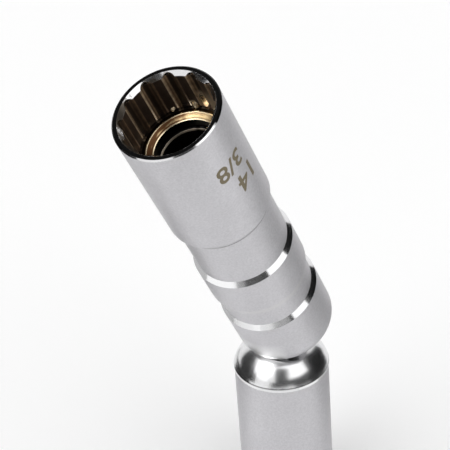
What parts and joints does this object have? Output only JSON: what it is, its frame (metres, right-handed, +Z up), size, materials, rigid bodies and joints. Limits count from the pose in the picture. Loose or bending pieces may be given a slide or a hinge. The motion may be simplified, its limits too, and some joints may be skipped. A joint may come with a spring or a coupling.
{
  "type": "swivel spark plug socket",
  "caption": "Thin-walled fluted socket head with a ring magnet, joined by a pinned ball swivel to a square drive end; holds and turns a spark plug.",
  "frame": {"origin": "centre of the drive square, at the foot of the drive end", "axes": "+Z up along the drive end, +X towards the side that the head leans to"},
  "size_m": [0.0447, 0.0184, 0.0979],
  "materials": {
    "drive_chrome": "satin shank with a polished shoulder",
    "pin_steel": "ground",
    "head_chrome": "satin, with polished shoulder cones and a dark inside",
    "magnet_plating": "plated, gold-tinted"
  },
  "bodies": {
    "drive_end": {"drive_body": "drive_chrome"},
    "pin": {"cross_pin": "pin_steel"},
    "head": {"socket_head": "head_chrome", "magnet_ring": "magnet_plating"}
  },
  "joints": [
    {"name": "pin_turn", "type": "hinge", "parent": "drive_end", "child": "pin", "pos_m": [0, 0, 0.03968], "axis": [0.7256, 0.6881, 0], "range_deg": [-37, 0]},
    {"name": "head_tilt", "type": "hinge", "parent": "pin", "child": "head", "pos_m": [0, 0, 0.03968], "axis": [-0.6526, 0.6881, 0.3173], "range_deg": [-37, 0]}
  ]
}
